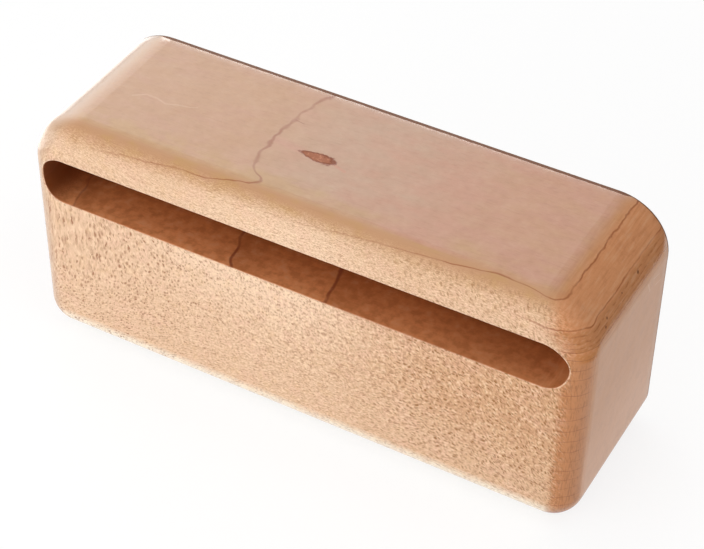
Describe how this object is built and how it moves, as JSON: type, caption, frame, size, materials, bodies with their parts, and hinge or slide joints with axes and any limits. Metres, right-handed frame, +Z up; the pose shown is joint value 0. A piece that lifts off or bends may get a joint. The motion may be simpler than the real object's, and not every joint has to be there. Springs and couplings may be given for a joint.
{
  "type": "woodblock",
  "caption": "Slotted hardwood woodblock with rounded edges, struck on its top wall over a long milled resonance slot, standing on glued-in rubber feet.",
  "frame": {"origin": "middle of the footprint, on the surface that the feet stand on", "axes": "+X along the block's length, +Z up towards the struck top wall, -Y out of the slotted front"},
  "size_m": [0.18, 0.0556, 0.081],
  "materials": {
    "wood": "satin lacquer over pale hardwood with brown ray flecks",
    "foot_rubber": "matt moulded rubber"
  },
  "bodies": {
    "root": {"body": "wood", "foot_front_left": "foot_rubber", "foot_front_right": "foot_rubber", "foot_back_left": "foot_rubber", "foot_back_right": "foot_rubber"}
  },
  "joints": []
}
